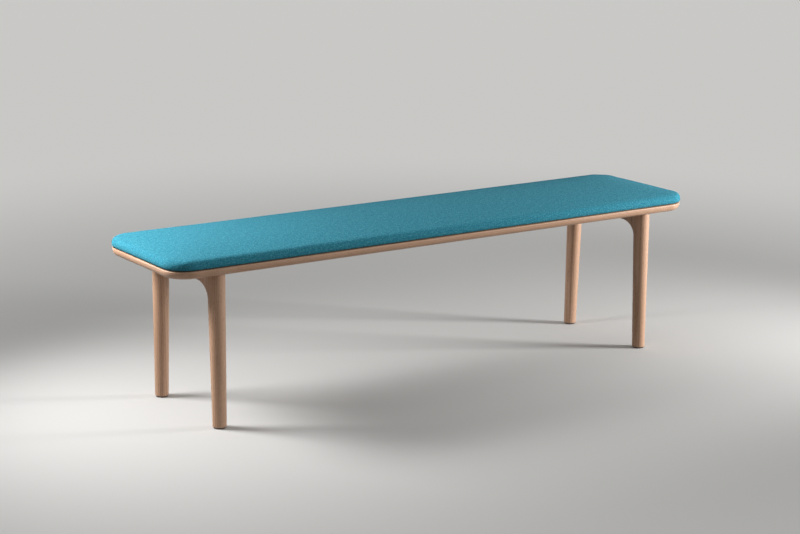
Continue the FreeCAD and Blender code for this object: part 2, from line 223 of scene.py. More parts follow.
def merged_copy(node, name):
    """A copy of a CAD node's loose triangles, merged into one skin with whole flat faces."""
    same_point = 0.005 * MM
    same_face = math.radians(0.3)
    skin = bmesh.new()
    skin.from_mesh(nodes[node].data)
    bmesh.ops.remove_doubles(skin, verts=skin.verts, dist=same_point)
    bmesh.ops.dissolve_limit(skin, angle_limit=same_face, verts=skin.verts, edges=skin.edges)
    return smooth_object(name, skin)


def even_skin(form, name, grid):
    """A copy of a form that its modifiers give even faces, laid back on the form's surface."""
    piece = new_object(name, form.data.copy())
    remesh = piece.modifiers.new("Even skin", "REMESH")
    remesh.mode = "VOXEL"
    remesh.voxel_size = grid
    remesh.use_smooth_shade = True
    wrap = piece.modifiers.new("Back on the form", "SHRINKWRAP")
    wrap.target = form
    wrap.wrap_method = "NEAREST_SURFACEPOINT"
    return piece


def give_wall(piece, thickness):
    """Turns a single skin into cloth of a thickness, measured inwards."""
    wall = piece.modifiers.new("Cloth thickness", "SOLIDIFY")
    wall.thickness = thickness
    wall.offset = -1
    bake(piece)


def stand_for(piece, material, node):
    """Gives a finished piece its material, and puts it in the place of its CAD node."""
    piece.data.materials.clear()
    piece.data.materials.append(material)
    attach(piece, "root")
    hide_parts(node)


def finish_nodes(material, *names):
    """Gives CAD nodes that stay their material."""
    for name in names:
        for place in nodes[name].material_slots:
            place.material = material


# Materials

def add(tree, kind, inputs=(), **settings):
    """Adds a node with its settings, and a value or a link for each input, by name or in their order.

    An input that takes many links gets a list of them. Returns the node's first output. Inputs and
    outputs that the settings leave unused don't count.
    """
    node = tree.nodes.new(kind)
    for name, value in settings.items():
        setattr(node, name, value)
    sockets = [socket for socket in node.inputs if socket.enabled]
    if isinstance(inputs, dict):
        by_name = {socket.name: socket for socket in sockets}
        sockets = [by_name[name] for name in inputs]
        inputs = inputs.values()
    for socket, value in zip(sockets, inputs):
        if isinstance(value, bpy.types.NodeSocket):
            tree.links.new(value, socket)
        elif socket.is_multi_input:
            for source in reversed(value):
                tree.links.new(source, socket)
        else:
            socket.default_value = value
    return next((socket for socket in node.outputs if socket.enabled), None)


def new_material(name, surface, uv_map=None):
    """A material whose shader has these values on its own sockets, and its patterns' coordinates."""
    material = bpy.data.materials.new(name)
    material.use_nodes = True
    tree = material.node_tree
    tree.nodes.clear()
    shader = add(tree, "ShaderNodeBsdfPrincipled", surface)
    add(tree, "ShaderNodeOutputMaterial", {"Surface": shader})
    if uv_map:
        place = add(tree, "ShaderNodeUVMap", uv_map=uv_map)
    else:
        place = add(tree, "ShaderNodeTexCoord").node.outputs["Object"]
    return material, tree, shader.node, place


def dress(shader, share, one, other, gloss=None, height=None, depth=0.0, strength=0.5):
    """Colours the shader between two colours by a share, and may give it a roughness and a relief."""
    tree = shader.id_data
    tint = add(tree, "ShaderNodeMix", (share, one, other), data_type="RGBA")
    tree.links.new(tint, shader.inputs["Base Color"])
    if gloss:
        tree.links.new(gloss, shader.inputs["Roughness"])
    if height:
        bump = add(tree, "ShaderNodeBump", {"Strength": strength, "Distance": depth, "Height": height})
        tree.links.new(bump, shader.inputs["Normal"])


def streaks(tree, place, counts, detail, roughness=0.5):
    """Noise with so many waves in each metre, or in each yarn, along each axis of the place."""
    stretched = add(tree, "ShaderNodeVectorMath", (place, counts), operation="MULTIPLY")
    return add(tree, "ShaderNodeTexNoise",
               {"Vector": stretched, "Scale": 1, "Detail": detail, "Roughness": roughness})


def grained_wood(name, grain, light, dark, pore, ring_width, pore_depth):
    """Planed wood: growth rings, figure, pores along the grain and ray flecks across it."""
    material, tree, shader, place = new_material(name, {"IOR": 1.5})
    axes = add(tree, "ShaderNodeSeparateXYZ", (place,)).node.outputs
    across, up, along = {"x": (1, 2, 0), "y": (0, 2, 1), "z": (0, 1, 2)}[grain]
    turned = add(tree, "ShaderNodeCombineXYZ", (axes[across], axes[up], axes[along]))

    # Rings round a heart 190 mm and 330 mm off the bench's origin, almost straight along the grain. They
    # are wavy by 30 mm, over about 60 mm across the grain and 700 mm along it
    wave = streaks(tree, turned, (16, 16, 1.4), 3, 0.45)
    heart = add(tree, "ShaderNodeVectorMath", (turned, (1, 1, 0.03), (0.19, 0.33, 0)),
                operation="MULTIPLY_ADD")
    radius = add(tree, "ShaderNodeVectorMath", (heart,), operation="LENGTH")
    bent = add(tree, "ShaderNodeMath", (wave, 30 * MM, radius), operation="MULTIPLY_ADD")
    rings = add(tree, "ShaderNodeMath", (bent, ring_width), operation="DIVIDE")
    season = add(tree, "ShaderNodeMath", (rings,), operation="FRACT")
    early = add(tree, "ShaderNodeMapRange", (season, 0, 0.42, 1, 0), interpolation_type="SMOOTHSTEP")
    late = add(tree, "ShaderNodeMapRange", (season, 0.75, 1, 0, 0.8), interpolation_type="SMOOTHSTEP")
    ring = add(tree, "ShaderNodeMath", (early, late), operation="MAXIMUM")

    # Slow change of tone, about 30 mm across and 400 mm along the grain, and fibres 1 by 40 mm
    tone = add(tree, "ShaderNodeMapRange", (streaks(tree, turned, (34, 34, 2.5), 4, 0.6), 0.36, 0.68))
    fibre = streaks(tree, turned, (1100, 1100, 26), 2)

    # Open pores: dashes of 0.3 by 3 mm in the real wood, drawn 1 by 13 mm so that they show
    drawn = add(tree, "ShaderNodeVectorMath", (turned, (900, 900, 75)), operation="MULTIPLY")
    cells = add(tree, "ShaderNodeTexVoronoi", {"Vector": drawn, "Scale": 1})
    dash = add(tree, "ShaderNodeMapRange", (cells, 0.16, 0.36, 1, 0))
    crowding = add(tree, "ShaderNodeMath", (ring, 0.75, 0.12), operation="MULTIPLY_ADD")
    pores = add(tree, "ShaderNodeMath", (dash, crowding), operation="MULTIPLY")

    # Ray flecks: pale, 5 mm across the grain and 1 mm along it
    rays = streaks(tree, turned, (190, 190, 900), 1)
    fleck = add(tree, "ShaderNodeMapRange", (rays, 0.66, 0.78, 0, 0.3))

    # Growth lines, tone and fibres darken the wood together, then come pores, then flecks
    share = 0.0
    for part, weight in ((ring, 0.42), (tone, 0.34), (fibre, 0.22)):
        share = add(tree, "ShaderNodeMath", (part, weight, share), operation="MULTIPLY_ADD")
    body = add(tree, "ShaderNodeMix", (share, light, dark), data_type="RGBA")
    body = add(tree, "ShaderNodeMix", (pores, body, pore), data_type="RGBA")
    gloss = add(tree, "ShaderNodeMapRange", (pores, 0, 0.8, 0.46, 0.66))
    height = add(tree, "ShaderNodeMath", (fibre, 0.25, -1), operation="MULTIPLY_ADD")
    height = add(tree, "ShaderNodeMath", (pores, -1, height), operation="MULTIPLY_ADD")
    dress(shader, fleck, body, light, gloss, height, pore_depth)
    return material


def oiled_oak(grain):
    # Oak, planed, sanded and matt oiled: pale pinkish tan with darker porous lines and a dull satin gloss
    wood = bpy.context.scene.bench_wood
    name = "Oak, matt oiled, grain along %s" % grain
    return bpy.data.materials.get(name) or grained_wood(
        name, grain, wood.oak_light, wood.oak_dark, wood.oak_pore, wood.ring_width, 0.12 * MM)


def plain_birch():
    # Birch, planed and left raw: cream, with faint rings and hardly any pores to see
    return grained_wood("Birch, planed", "y", linear("#E6CFAF"), linear("#D0B28D"), linear("#B9946C"),
                        2.8 * MM, 0.04 * MM)


def turned_beech(grain):
    # Beech dowels, turned and ribbed: warm pale brown with short dark flecks
    name = "Beech, turned, grain along %s" % grain
    return grained_wood(name, grain, linear("#DDBB93"), linear("#C59D72"), linear("#A47B52"),
                        3.2 * MM, 0.04 * MM)


def birch_plywood():
    # Birch plywood: cream face, and on its edge 1.5 mm plies that turn from pale to brown and back
    material, tree, shader, place = new_material("Birch plywood", {"Roughness": 0.6, "IOR": 1.5})
    ply = 1.5 * MM
    up = add(tree, "ShaderNodeSeparateXYZ", (place,)).node.outputs["Z"]
    pair = add(tree, "ShaderNodeMath", (up, 2 * ply), operation="FLOORED_MODULO")
    cross = add(tree, "ShaderNodeMath", (pair, ply), operation="GREATER_THAN")
    # Veneer fibres of about 2 by 80 mm, coarser than real ones so that they show
    fibre = streaks(tree, place, (12, 500, 500), 3)
    face = add(tree, "ShaderNodeMix", (fibre, linear("#E6D2AE"), linear("#D2B78D")), data_type="RGBA")
    dress(shader, cross, face, linear("#B99668"), height=fibre, depth=0.1 * MM, strength=0.3)
    return material


def gap_shade_plywood():
    # Plywood strips, a dull near-black that stands for the shade in the gap under the pad: painted shade,
    # with the veneer's fibres just showing
    material, tree, shader, place = new_material("Plywood, near-black for painted gap shade", {"Roughness": 0.8, "IOR": 1.5})
    # Fibres of about 1.5 by 25 mm, coarser than real ones so that they show
    fibre = streaks(tree, place, (40, 600, 900), 3)
    dress(shader, fibre, linear("#131212"), linear("#262320"))
    return material


def wool_twill():
    # Wool blend twill: matt teal with fine slanting ribs, a little haze of fibres at grazing light, and
    # two close shades of yarn with paler fibres spun in. The round back of each yarn is painted lighter:
    # a painted highlight
    pad = bpy.context.scene.bench_pad
    surface = {"Roughness": 0.92, "IOR": 1.45, "Specular IOR Level": 0.06,
               "Sheen Weight": 0.075, "Sheen Roughness": 0.55, "Sheen Tint": linear("#A9DCE6")}
    material, tree, shader, cloth = new_material("Wool blend twill", surface, uv_map="Cloth")
    # Yarns 2.2 mm apart stand for real ones of about 0.8 mm, which would be too fine to show
    per_yarn = 1 / pad.yarn_pitch
    yarns = add(tree, "ShaderNodeVectorMath", (cloth, (per_yarn, per_yarn, 0)), operation="MULTIPLY")

    # Numbers of the yarns, and the round backs of the yarns across X and across Y
    counts = []
    backs = []
    for part in add(tree, "ShaderNodeSeparateXYZ", (yarns,)).node.outputs[:2]:
        counts.append(add(tree, "ShaderNodeMath", (part,), operation="FLOOR"))
        turn = add(tree, "ShaderNodeMath", (part, math.pi), operation="MULTIPLY")
        wave = add(tree, "ShaderNodeMath", (turn,), operation="SINE")
        backs.append(add(tree, "ShaderNodeMath", (wave,), operation="ABSOLUTE"))

    # Two over, two under, a yarn further on in each row. Where the warp is on top its back shows
    step = add(tree, "ShaderNodeMath", counts, operation="ADD")
    phase = add(tree, "ShaderNodeMath", (step, 4), operation="FLOORED_MODULO")
    warp_up = add(tree, "ShaderNodeMath", (phase, 2), operation="LESS_THAN")
    height = add(tree, "ShaderNodeMix", (warp_up, backs[1], backs[0]), data_type="FLOAT")

    # Uneven spinning: streaks 2 yarns wide and 6 yarns long on each set of yarns
    warp_spun = streaks(tree, yarns, (0.5, 0.17, 0), 2)
    weft_spun = streaks(tree, yarns, (0.17, 0.5, 0), 2)
    spun = add(tree, "ShaderNodeMix", (warp_up, weft_spun, warp_spun), data_type="FLOAT")
    shade = add(tree, "ShaderNodeMapRange", (spun, 0.36, 0.64))
    # The round backs of the yarns lift the colour towards the light yarn: a painted highlight on each
    # yarn's crown
    painted_yarn_highlight = add(tree, "ShaderNodeMath", (height, 0.45), operation="MULTIPLY")
    mixed = add(tree, "ShaderNodeMath", (shade, 0.55, painted_yarn_highlight), operation="MULTIPLY_ADD")
    body = add(tree, "ShaderNodeMix", (mixed, pad.yarn_dark, pad.yarn_light), data_type="RGBA")

    # Pale fibres in flecks of about 4 mm
    fibres = streaks(tree, cloth, (290, 230, 0), 2)
    fleck = add(tree, "ShaderNodeMapRange", (fibres, 0.54, 0.7, 0, 0.4))
    dress(shader, fleck, body, pad.fleck, height=height, depth=0.35 * MM)
    return material


def upholstery_foam():
    # Cold-cured polyurethane foam, cut: pale yellow, dull, with 1 mm cells, each darker towards its
    # sunken middle: painted shade in the cells
    material, tree, shader, place = new_material("Polyurethane foam", {"Roughness": 0.95, "IOR": 1.45})
    foam = bpy.context.scene.bench_pad.foam
    cells = add(tree, "ShaderNodeTexVoronoi", {"Vector": place, "Scale": 900})
    # The cells' hollow middles take the darker colour: painted shade
    dress(shader, cells, linear("#CFC3A4"), foam, height=cells, depth=0.4 * MM)
    return material


def spunbond():
    # Spunbonded polypropylene: black felt-like sheet, pressed with small welded dots 3 mm apart
    material, tree, shader, place = new_material(
        "Spunbonded polypropylene", {"Roughness": 0.75, "IOR": 1.49})
    dots = add(tree, "ShaderNodeTexVoronoi", {"Vector": place, "Scale": 330, "Randomness": 0.15})
    weld = add(tree, "ShaderNodeMapRange", (dots, 0.2, 0.32))
    hairs = add(tree, "ShaderNodeTexNoise", {"Vector": place, "Scale": 420, "Detail": 4})
    height = add(tree, "ShaderNodeMath", (hairs, 0.5, weld), operation="MULTIPLY_ADD")
    dress(shader, hairs, linear("#17181A"), linear("#34363A"), height=height, depth=0.15 * MM)
    return material


def zinc_plated_steel():
    # Steel, barrel zinc plated: bluish grey metal, satin, with cloudy patches a few millimetres wide
    name = "Steel, zinc plated"
    known = bpy.data.materials.get(name)
    if known:
        return known
    material, tree, shader, place = new_material(name, {"Metallic": 1.0})
    clouds = add(tree, "ShaderNodeTexNoise", {"Vector": place, "Scale": 350, "Detail": 3})
    gloss = add(tree, "ShaderNodeMapRange", (clouds, 0, 1, 0.27, 0.45))
    dress(shader, clouds, bpy.context.scene.bench_hardware.steel, linear("#9CA2A6"), gloss)
    return material


def moulded_nylon():
    # Nylon, injection moulded: dark brownish grey with a fine eroded texture of under 1 mm, scuffed in
    # patches of about 6 mm where it slides
    material, tree, shader, place = new_material("Nylon, moulded", {"IOR": 1.53})
    grit = add(tree, "ShaderNodeTexNoise", {"Vector": place, "Scale": 1600, "Detail": 2})
    scuffs = add(tree, "ShaderNodeTexNoise", {"Vector": place, "Scale": 160, "Detail": 4})
    worn = add(tree, "ShaderNodeMapRange", (scuffs, 0.45, 0.75))
    gloss = add(tree, "ShaderNodeMapRange", (worn, 0, 1, 0.42, 0.68))
    dress(shader, worn, linear("#2E2A27"), linear("#4A4541"), gloss, grit, 0.05 * MM, strength=0.3)
    return material


def shown(tree):
    """1 for what the camera, a reflection or glass shows, and 0 for the light that falls on the bench."""
    rays = add(tree, "ShaderNodeLightPath").node.outputs
    direct = add(tree, "ShaderNodeMath", (rays["Is Camera Ray"], rays["Is Glossy Ray"]), operation="ADD")
    return add(tree, "ShaderNodeMath", (direct, rays["Is Transmission Ray"]), operation="ADD")


def painted_floor():
    # Studio floor, matt painted: plain and pale, and fading to a pale background far from the bench. Only
    # the camera and reflections see it like that. The light that it throws up at the bench is less
    stage = bpy.context.scene.bench_stage
    material, tree, shader, place = new_material(
        "Matt floor paint", {"Roughness": 0.85, "IOR": 1.45, "Emission Color": stage.floor})
    far = add(tree, "ShaderNodeVectorMath", (place,), operation="LENGTH")
    # The fading starts half a metre from the middle and is done at 3.4 m
    glow = add(tree, "ShaderNodeMapRange", (far, 0.5, 3.4, 0, stage.backdrop),
               interpolation_type="SMOOTHSTEP")
    seen = shown(tree)
    strength = add(tree, "ShaderNodeMath", (seen, glow), operation="MULTIPLY")
    tree.links.new(strength, shader.inputs["Emission Strength"])
    dress(shader, seen, stage.bounce, stage.floor)
    return material


# Seat frame, legs and crossbars

def sawn_piece(node, name, material, arris):
    """A sawn piece in the place of its CAD node, its sharp edges rounded as sandpaper does."""
    sharp_edge = math.radians(40)
    piece = merged_copy(node, name)
    bevel = piece.modifiers.new("Eased edges", "BEVEL")
    bevel.width = arris
    bevel.segments = 2
    bevel.limit_method = "ANGLE"
    bevel.angle_limit = sharp_edge
    bevel.harden_normals = False
    normals = piece.modifiers.new("Flat faces stay flat", "WEIGHTED_NORMAL")
    normals.keep_sharp = True
    bake(piece)
    stand_for(piece, material, node)


class BENCH_OT_seat_frame(bpy.types.Operator):
    """Finishes the four oak rails, and the three birch slats between them"""
    bl_idname = "bench.seat_frame"
    bl_label = "Seat frame"

    def execute(self, context):
        arris = context.scene.bench_wood.arris
        for side, grain in (("front", "x"), ("back", "x"), ("left", "y"), ("right", "y")):
            sawn_piece("seat_rail_" + side, "oak_rail_" + side, oiled_oak(grain), arris)
        birch = plain_birch()
        for n in (1, 2, 3):
            sawn_piece("cross_slat_%d" % n, "birch_slat_%d" % n, birch, 2 * arris)
        return {"FINISHED"}


class BENCH_OT_legs(bpy.types.Operator):
    """Finishes the four turned legs, each with a flare that melts into its round shaft"""
    bl_idname = "bench.legs"
    bl_label = "Legs"

    def execute(self, context):
        for place in ("front_left", "front_right", "back_left", "back_right"):
            form = merged_copy("leg_" + place, "leg_form")
            leg = even_skin(form, "oak_leg_" + place, context.scene.bench_wood.leg_grid)
            sanded = leg.modifiers.new("Sanded", "SMOOTH")
            sanded.factor = 0.5
            sanded.iterations = 4
            bake(leg)
            bpy.data.objects.remove(form)
            stand_for(leg, oiled_oak("z"), "leg_" + place)
        return {"FINISHED"}


class BENCH_OT_crossbars(bpy.types.Operator):
    """Finishes the two crossbars between the legs"""
    bl_idname = "bench.crossbars"
    bl_label = "Crossbars"

    def execute(self, context):
        for node in ("crossbar_left", "crossbar_right"):
            sawn_piece(node, "oak_" + node, oiled_oak("y"), context.scene.bench_wood.arris)
        return {"FINISHED"}


# Pad

def outline(inset, least_radius, per_corner=24, per_long=48, per_end=14):
    """Points of the seat's outline at an inset, the same number for every inset."""
    radius = max(corner_radius - inset, least_radius)
    centre_x = outline_half_x - inset - radius
    centre_y = outline_half_y - inset - radius
    # Each corner, the angle it starts at, and the straight side after it: its divisions and its run
    corners = (
        (1, -1, -90, per_end, (0, 2 * centre_y)),
        (1, 1, 0, per_long, (-2 * centre_x, 0)),
        (-1, 1, 90, per_end, (0, -2 * centre_y)),
        (-1, -1, 180, per_long, (2 * centre_x, 0)),
    )
    points = []
    for i, j, start, count, run in corners:
        for n in range(per_corner + 1):
            angle = math.radians(start + 90 * n / per_corner)
            points.append((i * centre_x + radius * math.cos(angle),
                           j * centre_y + radius * math.sin(angle)))
        x, y = points[-1]
        points += [(x + run[0] * n / count, y + run[1] * n / count) for n in range(1, count)]
    return points


def pad_sections(crown_height):
    """Insets and heights of the pad's sections: drawn-in side, round shoulder and long soft crown."""
    pad = bpy.context.scene.bench_pad
    widest = pad_bottom + pad.side_height
    crown_steps = 16

    def rise(across):
        return crown_height * (1 - (1 - across / pad.crown_width) ** 2)

    sections = []
    for angle in range(90, 0, -15):
        a = math.radians(angle)
        sections.append((pad.draw_in * (1 - math.cos(a)), widest - pad.side_height * math.sin(a)))
    for angle in range(0, 91, 10):
        a = math.radians(angle)
        across = pad.shoulder_width * (1 - math.cos(a))
        sections.append((across, widest + pad.shoulder_height * math.sin(a) + rise(across)))
    for n in range(1, crown_steps + 1):
        across = pad.shoulder_width + (pad.crown_width - pad.shoulder_width) * n / crown_steps
        sections.append((across, widest + pad.shoulder_height + rise(across)))
    return [(across - pad_overhang, height) for across, height in sections]


def pad_form(crown_height):
    """The closed form of the pad, from its sections."""
    least = bpy.context.scene.bench_pad.crown_corner
    skin = bmesh.new()
    rings = [[skin.verts.new((x, y, height)) for x, y in outline(inset, least)]
             for inset, height in pad_sections(crown_height)]
    skin.faces.new(reversed(rings[0]))
    skin.faces.new(rings[-1])
    for low, high in zip(rings, rings[1:]):
        for n in range(len(low)):
            m = (n + 1) % len(low)
            skin.faces.new((low[n], low[m], high[m], high[n]))
    bmesh.ops.recalc_face_normals(skin, faces=skin.faces)
    return smooth_object("pad_form", skin)


def swell_up(skin):
    """Fills the cover, held below, with pressure, and takes the share that gives the pad its height."""
    pad = bpy.context.scene.bench_pad
    held_strip = 1.5 * MM
    held = skin.vertex_groups.new(name="Held by staples")
    held.add([v.index for v in skin.data.vertices if v.co.z < pad_bottom + held_strip], 1.0, "REPLACE")
    cloth = skin.modifiers.new("Pressure", "CLOTH")
    cloth.settings.vertex_group_mass = held.name
    cloth.settings.quality = 5
    cloth.settings.use_pressure = True
    cloth.settings.uniform_pressure_force = pad.pressure
    cloth.settings.effector_weights.gravity = 0
    cloth.collision_settings.use_collision = False
    cloth.collision_settings.use_self_collision = False
    cloth.point_cache.frame_start = 1
    cloth.point_cache.frame_end = pad.frames
    for moment in range(1, pad.frames + 1):
        bpy.context.scene.frame_set(moment)
    start = points_of(skin.data)
    filled = baked_mesh(skin)
    move = points_of(filled) - start
    skin.modifiers.clear()
    skin.vertex_groups.clear()
    bpy.data.meshes.remove(filled)
    bpy.context.scene.frame_set(1)
    rise = move[:, 2].max()
    if not rise > 0:
        raise RuntimeError("the pressure did not lift the cover")
    move *= pad.swell / rise
    far = np.linalg.norm(move, axis=1)
    move *= np.minimum(1, pad.swell_cap / np.maximum(far, TINY))[:, None]
    move_points(skin.data, start + move)


def outward(points):
    """For each point, the level direction straight out of the nearest part of the outline."""
    core = np.array([outline_half_x - corner_radius, outline_half_y - corner_radius])
    past = np.sign(points[:, :2]) * np.maximum(np.abs(points[:, :2]) - core, 0)
    size = np.linalg.norm(past, axis=1)
    return past / np.maximum(size, TINY)[:, None]


def inset_of(points):
    """Distance of each point inside the frame's outline."""
    core = np.array([outline_half_x - corner_radius, outline_half_y - corner_radius])
    past = np.abs(points[:, :2]) - core
    beyond = np.linalg.norm(np.maximum(past, 0), axis=1)
    within = np.minimum(past.max(axis=1), 0)
    return corner_radius - beyond - within


def lay_cloth(mesh):
    """A UV map in metres, level over the top and carried on down the sides, so that no weave smears."""
    pad = bpy.context.scene.bench_pad
    points = points_of(mesh)
    shoulder = pad_bottom + pad.side_height + pad.shoulder_height
    down = np.maximum(shoulder - points[:, 2], 0)
    flat = points[:, :2] + outward(points) * down[:, None]
    corners = np.empty(len(mesh.loops), dtype=np.int64)
    mesh.loops.foreach_get("vertex_index", corners)
    layer = mesh.uv_layers.new(name="Cloth")
    layer.data.foreach_set("uv", flat[corners].ravel())


def slow_noise(x, y, waves_along, waves_across, layer):
    """Noise from -1 to 1 with so many waves in each metre, unlike that of another layer."""
    return noise.noise(Vector((x * waves_along, y * waves_across, layer)))


def make_uneven(mesh):
    """Slow unevenness of the foam below the cloth, where the pad isn't held, and mostly downwards."""
    pad = bpy.context.scene.bench_pad
    points = points_of(mesh)
    top = points[:, 2] > pad_bottom + pad.side_height
    for index in np.nonzero(top)[0]:
        x, y, z = points[index]
        points[index, 2] = z + pad.unevenness * (slow_noise(x, y, 9, 13, layer=3.7) - 0.6)
    move_points(mesh, points)


def cover_piece(skin):
    """The fabric from the swollen skin: open below the panel, with its own thickness."""
    pad = bpy.context.scene.bench_pad
    cover = new_object("pad_cover", skin.data.copy())
    finer = cover.modifiers.new("Finer", "SUBSURF")
    finer.levels = 1
    finer.render_levels = 1
    bake(cover)
    make_uneven(cover.data)
    opened = bmesh.new()
    opened.from_mesh(cover.data)
    opened.verts.ensure_lookup_table()
    insets = inset_of(points_of(cover.data))
    underside = pad_bottom + 1 * MM
    below = [v for v in opened.verts if v.co.z < underside and insets[v.index] > pad.hem_inset]
    bmesh.ops.delete(opened, geom=below, context="VERTS")
    opened.to_mesh(cover.data)
    opened.free()
    lay_cloth(cover.data)
    give_wall(cover, pad.cloth_thickness)
    stand_for(cover, wool_twill(), "fabric_cover")


def foam_piece(skin):
    """The foam just inside the cover, with the panel's bed in its underside."""
    clear_of_cover = 0.8 * MM
    clear_of_panel = 0.1 * MM
    foam = new_object("pad_foam", skin.data.copy())
    mesh = foam.data
    normals = np.empty(len(mesh.vertices) * 3)
    mesh.vertices.foreach_get("normal", normals)
    depth = bpy.context.scene.bench_pad.cloth_thickness + clear_of_cover
    points = points_of(mesh) - normals.reshape(-1, 3) * depth
    bed = (inset_of(points) > panel_inset) & (points[:, 2] < panel_top)
    points[bed, 2] = panel_top + clear_of_panel
    move_points(mesh, points)
    stand_for(foam, upholstery_foam(), "foam_pad")


class BENCH_OT_pad(bpy.types.Operator):
    """Makes the fabric cover, swollen by the pressure of its filling, and the foam inside it"""
    bl_idname = "bench.pad"
    bl_label = "Pad"

    def execute(self, context):
        pad = context.scene.bench_pad
        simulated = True
        form = pad_form(pad.crown_height - (pad.swell if simulated else 0))
        skin = even_skin(form, "pad_skin", pad.grid)
        bake(skin)
        if simulated:
            swell_up(skin)
        cover_piece(skin)
        foam_piece(skin)
        bpy.data.objects.remove(skin)
        bpy.data.objects.remove(form)
        return {"FINISHED"}


class BENCH_OT_panel(bpy.types.Operator):
    """Finishes the plywood panel, the spacer strips and the dowels and inserts inside the wood"""
    bl_idname = "bench.panel"
    bl_label = "Panel and inner parts"

    def execute(self, context):
        finish_nodes(birch_plywood(), "seat_panel")
        # The spacer strips are near-black: painted shade for the dark gap under the pad
        finish_nodes(gap_shade_plywood(), "spacer_front", "spacer_back", "spacer_left", "spacer_right")
        finish_nodes(turned_beech("x"), "rail_dowels")
        finish_nodes(turned_beech("z"), "leg_dowels")
        finish_nodes(turned_beech("y"), "slat_dowels", "crossbar_dowels")
        finish_nodes(zinc_plated_steel(), "threaded_inserts")
        return {"FINISHED"}


def loose(distance, held, run):
    """How loose cloth is at a distance from its hold: 0 over the held strip, and 1 after a run."""
    return min(max(distance - held, 0) / run, 1)


class BENCH_OT_dust_cover(bpy.types.Operator):
    """Makes the thin black cloth below the panel, a little slack between its staples and the slats"""
    bl_idname = "bench.dust_cover"
    bl_label = "Dust cover"

    def execute(self, context):
        half_x, half_y = dust_cover_high.x, dust_cover_high.y
        corner = corner_radius - (outline_half_x - half_x)
        columns, rows = 188, 32
        slack = 1.3 * MM
        slats = [sum(c.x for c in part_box("cross_slat_%d" % n)) / 2 for n in (1, 2, 3)]
        skin = bmesh.new()
        grid = []
        for i in range(columns + 1):
            line = []
            for j in range(rows + 1):
                x = half_x * (2 * i / columns - 1)
                y = half_y * (2 * j / rows - 1)
                past_x = abs(x) - (half_x - corner)
                past_y = abs(y) - (half_y - corner)
                if past_x > 0 and past_y > 0 and math.hypot(past_x, past_y) > corner:
                    share = corner / math.hypot(past_x, past_y)
                    x = math.copysign(half_x - corner + past_x * share, x)
                    y = math.copysign(half_y - corner + past_y * share, y)
                free = loose(min(half_x - abs(x), half_y - abs(y)), held=8 * MM, run=40 * MM)
                for slat in slats:
                    free *= loose(abs(x - slat), held=32 * MM, run=60 * MM)
                hang = 0.55 + 0.45 * slow_noise(x, y, 11, 15, layer=1.3)
                line.append(skin.verts.new((x, y, dust_cover_high.z - slack * free * hang)))
            grid.append(line)
        for i in range(columns):
            for j in range(rows):
                skin.faces.new((grid[i][j], grid[i + 1][j], grid[i + 1][j + 1], grid[i][j + 1]))
        sheet = smooth_object("dust_sheet", skin)
        give_wall(sheet, dust_cover_high.z - dust_cover_low.z)
        stand_for(sheet, spunbond(), "dust_cover")
        return {"FINISHED"}


# Hardware, made with Geometry Nodes

def new_tree(name, sizes):
    """A Geometry Nodes tree whose inputs are the places, a finish, a seed and the named sizes."""
    tree = bpy.data.node_groups.new(name, "GeometryNodeTree")
    for label, kind in (("Places", "Geometry"), ("Finish", "Material"), ("Seed", "Int")):
        tree.interface.new_socket(label, in_out="INPUT", socket_type="NodeSocket" + kind)
    for size, value in sizes.items():
        socket = tree.interface.new_socket(size, in_out="INPUT", socket_type="NodeSocketFloat")
        socket.default_value = value
        socket.subtype = "DISTANCE"
    tree.interface.new_socket("Pieces", in_out="OUTPUT", socket_type="NodeSocketGeometry")
    return tree, dict(add(tree, "NodeGroupInput").node.outputs.items())


def work_out(tree, given, shares):
    """Adds measures to those given, each of them a share of another, such as half of a diameter."""
    for measure, (size, share) in shares.items():
        given[measure] = add(tree, "ShaderNodeMath", (given[size], share), operation="MULTIPLY")


def end_tree(tree, given, shapes, turned=0.0):
    """Puts the shapes at every place, each with its own turn and a random one, and ends the tree."""
    whole = add(tree, "GeometryNodeJoinGeometry", {"Geometry": shapes})
    turn = add(tree, "GeometryNodeInputNamedAttribute", {"Name": "turn"}, data_type="FLOAT")
    chance = add(tree, "FunctionNodeRandomValue", {"Min": 0.0, "Max": turned, "Seed": given["Seed"]},
                 data_type="FLOAT")
    angle = add(tree, "ShaderNodeMath", (turn, chance), operation="ADD")
    angles = add(tree, "ShaderNodeCombineXYZ", {"Z": angle})
    placed = add(tree, "GeometryNodeInstanceOnPoints",
                 {"Points": given["Places"], "Instance": whole, "Rotation": angles})
    real = add(tree, "GeometryNodeRealizeInstances", {"Geometry": placed})
    finished = add(tree, "GeometryNodeSetMaterial", {"Geometry": real, "Material": given["Finish"]})
    add(tree, "NodeGroupOutput", {"Pieces": finished})


def moved(tree, shape, height):
    """The shape lifted by a height that is a value or a socket."""
    lift = add(tree, "ShaderNodeCombineXYZ", {"Z": height})
    return add(tree, "GeometryNodeTransform", {"Geometry": shape, "Translation": lift})


def bar(tree, sides, radius, run, foot):
    """A round bar of so many sides that stands at a height."""
    shape = add(tree, "GeometryNodeMeshCylinder", {"Vertices": sides, "Radius": radius, "Depth": run})
    middle = add(tree, "ShaderNodeMath", (run, 0.5, foot), operation="MULTIPLY_ADD")
    return moved(tree, shape, middle)


